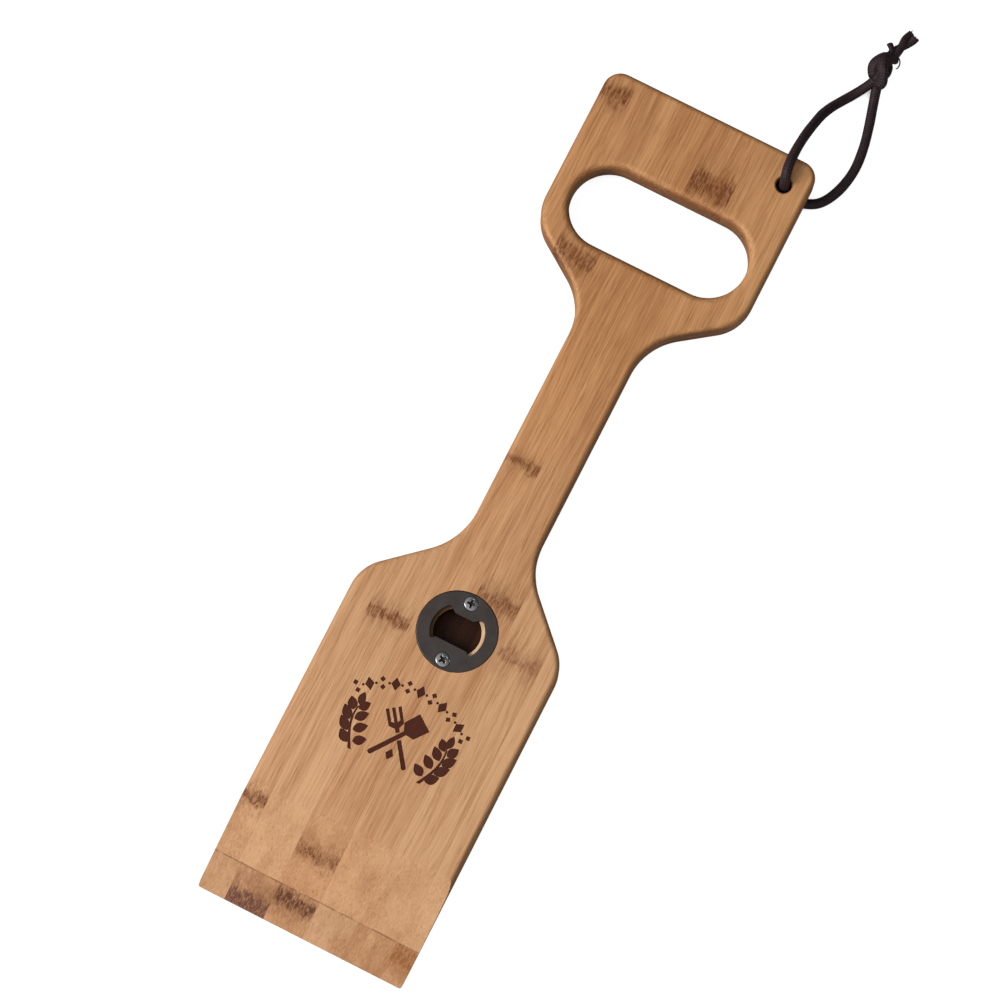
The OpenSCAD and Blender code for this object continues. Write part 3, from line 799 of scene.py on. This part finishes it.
    # growth-node marks: a mottled dark belt with streaks that fade out along the grain
    mott = N.step(N.noise(N.v("ADD", N.vec(N.m("DIVIDE", x, 0.85), N.m("DIVIDE", y, 2.9), N.m("DIVIDE", z, 0.85)), seed), 1, 4, 0.70, 0.35), 0.36, 0.68)
    soft = N.noise(N.v("ADD", N.vec(N.m("DIVIDE", x, 4.5), N.m("DIVIDE", y, 5.0), N.m("DIVIDE", z, 3.5)), seed), 1, 2, 0.5)
    run = fib(0.9, 8, 0.8, 2.0, 0.6, shift=11.0)
    bend = N.m("MULTIPLY", N.m("SUBTRACT", soft, 0.5), 9.0)
    total, relief = None, None
    for c, p, sz in (("Mark1", "Power1", "Size1"), ("Mark2", "Power2", "Size2")):
        d = N.m("ADD", N.m("SUBTRACT", y, I[c]), bend)
        ad = N.m("ABSOLUTE", d)
        belt = N.m("SUBTRACT", 1.0, N.step(ad, N.m("MULTIPLY", I[sz], 0.2), I[sz]))
        halo = N.m("SUBTRACT", 1.0, N.step(ad, N.m("MULTIPLY", I[sz], 0.4), N.m("MULTIPLY", I[sz], 2.5)))
        k = N.m("ADD", N.m("MULTIPLY", belt, N.m("ADD", 0.24, N.m("MULTIPLY", mott, 0.74))), N.m("MULTIPLY", halo, N.m("ADD", 0.12, N.m("MULTIPLY", N.step(run, 0.42, 0.64), 0.46))))
        k = N.m("MULTIPLY", k, I[p], clamp=True)
        total = k if total is None else N.m("MAXIMUM", total, k)
        r = N.m("MULTIPLY", N.m("MULTIPLY", belt, mott), I[p])
        relief = r if relief is None else N.m("MAXIMUM", relief, r)
    col = N.mix(total, col, I["Mark Colour"])
    # cut fibre ends: darker, with dots; end grain is darker in itself, and the darkening is also painted shade on the
    # edges that face along the board
    end_grain_and_shade = N.step(N.m("ABSOLUTE", nrm.outputs[1]), 0.46, 0.92)
    col = N.mix(N.m("MULTIPLY", end_grain_and_shade, N.m("ADD", 0.62, N.m("MULTIPLY", speck, 0.38))), col, (0.46, 0.37, 0.30), "MULTIPLY")
    # the sloping cut shows short dashes
    slope = N.m("MULTIPLY", N.step(N.m("ABSOLUTE", nrm.outputs[1]), 0.12, 0.24), N.m("SUBTRACT", 1.0, end_grain_and_shade))
    col = N.mix(N.m("MULTIPLY", slope, N.m("MULTIPLY", speck, 0.24)), col, (0.74, 0.60, 0.52), "MULTIPLY")
    # painted shade: the walls and rounded edges are coloured a little darker all round, as if turned from the light
    side = N.m("SUBTRACT", 1.0, N.step(N.m("ABSOLUTE", nrm.outputs[2]), 0.30, 0.86))
    col = N.mix(N.m("MULTIPLY", side, 0.6), col, (0.84, 0.80, 0.72), "MULTIPLY")
    # painted shade: surfaces facing right (+x) are coloured darker brown still, standing in for the shade on the
    # board's right side
    shade = N.m("MULTIPLY", N.step(nrm.outputs[0], 0.14, 0.62), 0.72)
    col = N.mix(shade, col, (0.64, 0.57, 0.46), "MULTIPLY")
    # glue between the layers and between the slats
    gz = N.m("ABSOLUTE", N.m("ADD", N.m("SUBTRACT", z, BACK_T), N.m("MULTIPLY", N.m("SUBTRACT", N.noise(N.v("ADD", N.vec(N.m("DIVIDE", x, 2.2), N.m("DIVIDE", y, 2.2), 0.0), (4.1, 8.2, 1.0)), 1, 3, 0.6), 0.5), 0.30)))
    gone = N.noise(N.vec(N.m("DIVIDE", x, 4.5), 3.3, N.m("DIVIDE", z, 4.0)), 1, 3, 0.7)
    glue = N.m("MULTIPLY", N.m("SUBTRACT", 1.0, N.step(gz, 0.02, 0.15)), N.m("ADD", 0.16, N.m("MULTIPLY", N.step(gone, 0.40, 0.62), 0.62)))
    col = N.mix(glue, col, (0.15, 0.055, 0.022))
    edge = N.m("MINIMUM", N.m("ABSOLUTE", N.m("SUBTRACT", x, I["Left"])), N.m("ABSOLUTE", N.m("SUBTRACT", x, I["Right"])))
    seam = N.m("SUBTRACT", 1.0, N.step(edge, 0.02, 0.14))
    col = N.mix(N.m("MULTIPLY", seam, N.m("ADD", 0.15, N.m("MULTIPLY", streak, 0.5))), col, (0.22, 0.095, 0.04))
    # painted shade: the blind pocket below the opener's mouth is coloured near black, as the deep hollow would be in
    # shade
    rr = N.m("SQRT", N.m("ADD", N.m("POWER", N.m("SUBTRACT", x, JOINT_X), 2.0), N.m("POWER", N.m("SUBTRACT", y, OY), 2.0)))
    pocket = N.m("MULTIPLY", N.m("SUBTRACT", 1.0, N.step(rr, 11.85, 12.0)), N.m("SUBTRACT", 1.0, N.step(z, 14.2, 14.95)))
    pocket = N.m("MULTIPLY", pocket, N.step(z, 5.5, 6.9))
    col = N.mix(pocket, col, (0.085, 0.044, 0.012), "MULTIPLY")
    # painted light and shade: on the ring of seat floor around the pocket, the left side is coloured dark olive as if
    # in the plate's shadow, and the right side bright cream as if lit
    ledge = N.m("MULTIPLY", N.m("SUBTRACT", 1.0, N.step(rr, 19.0, 19.6)), N.m("SUBTRACT", 1.0, N.step(z, 15.3, 15.9)))
    ledge = N.m("MULTIPLY", ledge, N.m("SUBTRACT", 1.0, pocket))
    ledge = N.m("MULTIPLY", ledge, N.step(z, 10.0, 12.5))
    col = N.mix(N.m("MULTIPLY", ledge, N.m("SUBTRACT", 1.0, N.step(x, JOINT_X - 4, JOINT_X + 4))), col, (0.20, 0.175, 0.09), "MULTIPLY")
    col = N.mix(N.m("MULTIPLY", ledge, N.step(x, JOINT_X + 2, JOINT_X + 6)), col, (1.30, 1.55, 1.90), "MULTIPLY")
    N.put(go.inputs["Color"], col)
    ro = N.m("ADD", 0.44, N.m("MULTIPLY", fine, 0.16))
    N.put(go.inputs["Roughness"], N.m("ADD", ro, N.m("MULTIPLY", total, 0.12)))
    h = N.m("ADD", N.m("MULTIPLY", fine, 0.6), N.m("MULTIPLY", streak, 0.5))
    h = N.m("SUBTRACT", h, N.m("MULTIPLY", pores, 0.5))
    h = N.m("SUBTRACT", h, N.m("MULTIPLY", relief, 0.7))
    h = N.m("SUBTRACT", h, N.m("MULTIPLY", seam, 0.8))
    h = N.m("SUBTRACT", h, N.m("MULTIPLY", glue, 0.5))
    N.put(go.inputs["Height"], h)
    return g


DARK, MIDDLE, LIGHT = (0.262, 0.114, 0.042), (0.400, 0.205, 0.094), (0.510, 0.292, 0.148)
BAMBOO = bamboo_group()


def bamboo(name, burnt=False, **inputs):
    m = bpy.data.materials.new(name)
    m.use_nodes = True
    N = Net(m.node_tree)
    b = m.node_tree.nodes["Principled BSDF"]
    g = N.node("ShaderNodeGroup")
    g.node_tree = BAMBOO
    for k, v in inputs.items():
        g.inputs[k.replace("_", " ")].default_value = (*v, 1) if isinstance(v, tuple) else v
    col, ro = g.outputs["Color"], g.outputs["Roughness"]
    if name.startswith("bamboo_back"):
        col = N.mix(1.0, col, (0.99, 1.03, 1.12), "MULTIPLY")
    if burnt:
        col = N.mix(0.965, col, (0.043, 0.0092, 0.0064))
        ro = N.m("ADD", ro, 0.2)
    N.put(b.inputs["Base Color"], col)
    N.put(b.inputs["Roughness"], ro)
    bp = N.node("ShaderNodeBump")
    bp.inputs["Strength"].default_value = 0.55
    bp.inputs["Distance"].default_value = 0.00009
    N.put(bp.inputs["Height"], g.outputs["Height"])
    N.put(b.inputs["Normal"], bp.outputs[0])
    b.inputs["Specular IOR Level"].default_value = 0.12 if name.startswith("bamboo_back") else 0.06 if burnt else 0.25
    return m


# tone and growth nodes of each slat: node positions in millimetres from the scraping edge
LOOK = {
    ("front", 1): dict(Tone=0.62, Warm=0.05, Mark1=49.0, Power1=0.95, Size1=5.0, Mark2=438.0, Power2=0.9, Size2=7.0),
    ("front", 2): dict(Tone=0.66, Warm=0.0, Mark1=156.0, Power1=0.9, Size1=4.6, Mark2=356.0, Power2=0.82, Size2=8.5),
    ("front", 3): dict(Tone=0.52, Warm=0.12, Mark1=38.0, Power1=0.74, Size1=4.6, Mark2=252.0, Power2=0.78, Size2=4.0),
    ("front", 4): dict(Tone=0.56, Warm=0.06, Mark1=186.0, Power1=0.75, Size1=6.5, Mark2=417.0, Power2=0.95, Size2=9.0),
    ("front", 5): dict(Tone=0.64, Warm=0.0, Mark1=165.0, Power1=0.58, Size1=5.5, Mark2=418.0, Power2=0.0, Size2=5.0),
    ("front", 6): dict(Tone=0.74, Warm=0.0),
    ("back", 1): dict(Tone=0.58, Warm=0.0),
    ("back", 2): dict(Tone=0.40, Warm=0.15, Mark1=2.0, Power1=1.0, Size1=9.0, Mark_Colour=(0.110, 0.040, 0.025)),
    ("back", 3): dict(Tone=0.52, Warm=0.12, Mark1=13.6, Power1=1.0, Size1=5.0, Mark_Colour=(0.094, 0.030, 0.012)),
    ("back", 4): dict(Tone=0.68, Warm=0.0),
    ("back", 5): dict(Tone=0.44, Warm=0.14),
    ("back", 6): dict(Tone=0.60, Warm=0.1, Mark1=13.0, Power1=1.0, Size1=6.5, Mark_Colour=(0.240, 0.086, 0.024)),
}
for side, k, part, a, b, y0, y1 in SLATS:
    ob = slat_obs[f"{side}_slat_{k}_{part}"]
    look = dict(LOOK[(side, k)])
    look["Seed"] = k * 1.37 + (0.0 if side == "front" else 11.9)
    look["Left"], look["Right"] = (a if a > -60 else -999.0), (b if b < 60 else 999.0)
    ob.data.materials.clear()
    ob.data.materials.append(bamboo("bamboo_" + ob.name[7:], **look))
    if ob.name[7:] in MARKED:
        ob.data.materials.append(bamboo("bamboo_burnt_" + ob.name[7:], burnt=True, **look))
        for i in ob["burnt"]: ob.data.polygons[i].material_index = 1
    if len(ob["pocket"]):
        dull = bamboo("bamboo_pocket_" + ob.name[7:], **look)
        dull.node_tree.nodes["Principled BSDF"].inputs["Specular IOR Level"].default_value = 0.06
        ob.data.materials.append(dull)
        for i in ob["pocket"]: ob.data.polygons[i].material_index = len(ob.data.materials) - 1
    del ob["burnt"], ob["pocket"]


def plain(name, base, rough, metal):
    m = bpy.data.materials.new(name)
    m.use_nodes = True
    N = Net(m.node_tree)
    b = m.node_tree.nodes["Principled BSDF"]
    b.inputs["Metallic"].default_value = metal
    tc = N.node("ShaderNodeTexCoord")
    return m, N, b, tc.outputs["Object"]


# dark coated steel: faint brushing and blotches
steel, N, b, obj = plain("opener_coated_steel", None, 0.4, 0.85)
sc = N.v("MULTIPLY", obj, (1000.0, 1000.0, 1000.0))
sx = N.node("ShaderNodeSeparateXYZ"); N.put(sx.inputs[0], sc)
brush = N.noise(N.vec(N.m("DIVIDE", sx.outputs[0], 7.0), N.m("DIVIDE", sx.outputs[1], 0.16), N.m("DIVIDE", sx.outputs[2], 0.3)), 1, 3, 0.6)
blot = N.noise(sc, 0.16, 3, 0.6)
N.put(b.inputs["Base Color"], N.mix(N.m("ADD", N.m("MULTIPLY", blot, 0.6), N.m("MULTIPLY", brush, 0.4)), (0.036, 0.029, 0.027), (0.082, 0.068, 0.063)))
N.put(b.inputs["Roughness"], N.m("ADD", 0.30, N.m("ADD", N.m("MULTIPLY", brush, 0.14), N.m("MULTIPLY", blot, 0.12))))
bp = N.node("ShaderNodeBump"); bp.inputs["Strength"].default_value = 0.25; bp.inputs["Distance"].default_value = 0.00003
N.put(bp.inputs["Height"], brush); N.put(b.inputs["Normal"], bp.outputs[0])
plate.data.materials.clear(); plate.data.materials.append(steel)

# plated screws: bright metal; painted shade: the cross recess is coloured near black, where shade falls in it
chrome, N, b, obj = plain("screw_plated_steel", None, 0.2, 1.0)
at = N.node("ShaderNodeAttribute", attribute_name="recess")
nz = N.noise(N.v("MULTIPLY", obj, (1000.0, 1000.0, 1000.0)), 1.1, 3, 0.6)
rec = N.step(at.outputs["Fac"], 0.15, 0.8)
N.put(b.inputs["Base Color"], N.mix(rec, N.mix(nz, (0.20, 0.20, 0.20), (0.34, 0.34, 0.34)), (0.030, 0.028, 0.028)))
N.put(b.inputs["Roughness"], N.m("ADD", N.m("MULTIPLY", nz, 0.12), N.m("ADD", 0.07, N.m("MULTIPLY", rec, 0.3))))
for o in (screw_up, screw_lo): o.data.materials.clear(); o.data.materials.append(chrome)


def cord_material(name, lift=1.0):
    """Waxed braided cotton: fine criss-cross cover, rubbed lighter on the high threads."""
    m, N, b, obj = plain(name, None, 0.6, 0.0)
    mm = N.v("MULTIPLY", obj, (1000.0, 1000.0, 1000.0))
    uv = N.node("ShaderNodeUVMap", uv_map="UVMap")
    su = N.node("ShaderNodeSeparateXYZ"); N.put(su.inputs[0], uv.outputs[0])
    u, v = su.outputs[0], su.outputs[1]
    pu, pv = N.m("MULTIPLY", u, 6 * 2 * math.pi), N.m("MULTIPLY", v, 2 * math.pi * 6)
    w1 = N.m("SINE", N.m("ADD", pu, pv)); w2 = N.m("SINE", N.m("SUBTRACT", pu, pv))
    weave = N.m("ADD", N.m("MULTIPLY", N.m("MULTIPLY", w1, w2), 0.5), 0.5)
    fuzz = N.noise(mm, 2.6, 3, 0.7)
    blot = N.noise(mm, 0.35, 2, 0.5)
    k = N.m("ADD", N.m("MULTIPLY", weave, 0.42), N.m("ADD", N.m("MULTIPLY", fuzz, 0.5), N.m("MULTIPLY", N.m("SUBTRACT", blot, 0.5), 0.5)))
    N.put(b.inputs["Base Color"], N.mix(N.step(k, 0.2, 0.85), tuple(lift * q for q in (0.0070, 0.0026, 0.0037)), tuple(lift * q for q in (0.034, 0.0146, 0.0180))))
    N.put(b.inputs["Roughness"], N.m("ADD", 0.42, N.m("MULTIPLY", fuzz, 0.25)))
    b.inputs["Specular IOR Level"].default_value = 0.22
    b.inputs["Sheen Weight"].default_value = 0.08
    b.inputs["Sheen Roughness"].default_value = 0.4
    b.inputs["Sheen Tint"].default_value = (0.55, 0.42, 0.46, 1)
    bp = N.node("ShaderNodeBump"); bp.inputs["Strength"].default_value = 0.8; bp.inputs["Distance"].default_value = 0.00025
    N.put(bp.inputs["Height"], N.m("ADD", N.m("MULTIPLY", weave, 0.7), N.m("MULTIPLY", fuzz, 0.5)))
    N.put(b.inputs["Normal"], bp.outputs[0])
    return m


waxed = cord_material("waxed_cotton_cord")
for o in [c[0] for c in cords] + knot_parts:
    o.data.materials.clear()
    o.data.materials.append(waxed)

# ------------------------------------------------------------------ floor, light
floor_me = bpy.data.meshes.new("floor")
floor_me.from_pydata([(-3, -3, 0), (3, -3, 0), (3, 3, 0), (-3, 3, 0)], [], [(0, 1, 2, 3)])
floor = bpy.data.objects.new("floor", floor_me)
scene.collection.objects.link(floor)
fm = bpy.data.materials.new("floor_white")
fm.use_nodes = True
fb = fm.node_tree.nodes["Principled BSDF"]
fb.inputs["Base Color"].default_value = (0.14, 0.14, 0.14, 1)
fb.inputs["Emission Color"].default_value = (1, 1, 1, 1)
F = Net(fm.node_tree)
# painted shadow: the floor's glow is dimmed by the AO node where the board and cord crowd it
ao = F.node("ShaderNodeAmbientOcclusion", samples=12)
ao.inputs["Distance"].default_value = 0.025
lp = F.node("ShaderNodeLightPath")
# painted shadow under the hanging hole: the floor's glow is cut to nothing close below it
spot = F.node("ShaderNodeSeparateXYZ"); F.put(spot.inputs[0], F.node("ShaderNodeTexCoord").outputs["Object"])
hx, hy = F.m("SUBTRACT", spot.outputs[0], HOLE_X * MM), F.m("SUBTRACT", spot.outputs[1], HOLE_Y * MM - 0.2250)
away = F.step(F.m("SQRT", F.m("ADD", F.m("POWER", hx, 2.0), F.m("POWER", hy, 2.0))), 0.0105, 0.0125)      # no glow under the hanging hole
seen = F.m("ADD", 0.10, F.m("MULTIPLY", lp.outputs["Is Camera Ray"], 0.86))
F.put(fb.inputs["Emission Strength"], F.m("MULTIPLY", seen, F.m("MULTIPLY", away, F.step(ao.outputs["AO"], 0.17, 0.30))))
fb.inputs["Roughness"].default_value = 0.95
fb.inputs["Specular IOR Level"].default_value = 0.0
floor.data.materials.append(fm)

LEFT_DIR = (CAM_ROT @ Vector((-1.0, -0.48, 0.25))).normalized()
world = bpy.data.worlds.new("studio")
scene.world = world
world.use_nodes = True
W = Net(world.node_tree)
wt = W.node("ShaderNodeTexCoord")
wd = W.node("ShaderNodeVectorMath", operation="DOT_PRODUCT")
W.put(wd.inputs[0], wt.outputs["Generated"]); wd.inputs[1].default_value = tuple(LEFT_DIR)
wr = W.node("ShaderNodeMapRange", interpolation_type="SMOOTHSTEP")
W.put(wr.inputs["Value"], wd.outputs["Value"])
for kk, q in (("From Min", -0.52), ("From Max", 0.52), ("To Min", 0.10), ("To Max", 1.00)): wr.inputs[kk].default_value = q
bg = world.node_tree.nodes["Background"]
bg.inputs["Color"].default_value = (1, 1, 1, 1)
W.put(bg.inputs["Strength"], wr.outputs[0])
scene.view_settings.view_transform = "Standard"


def area(name, cam_dir, dist, size, power, target=(0, 0, 0.01), color=(1, 1, 1)):
    """An area light placed by its direction in the picture: right, up, towards the viewer."""
    d = (CAM_ROT @ Vector(cam_dir)).normalized()
    l = bpy.data.lights.new(name, "AREA")
    l.shape, l.size, l.energy, l.color = "DISK", size, power, color
    ob = bpy.data.objects.new(name, l)
    scene.collection.objects.link(ob)
    ob.location = Vector(target) + d * dist
    ob.rotation_mode = "QUATERNION"
    ob.rotation_quaternion = d.to_track_quat("Z", "Y")
    return ob


area("key", (-1.0, 0.10, 0.95), 1.5, 0.8, 21.5)
area("glint", (1.0, -0.05, 0.45), 1.2, 0.12, 0.8)

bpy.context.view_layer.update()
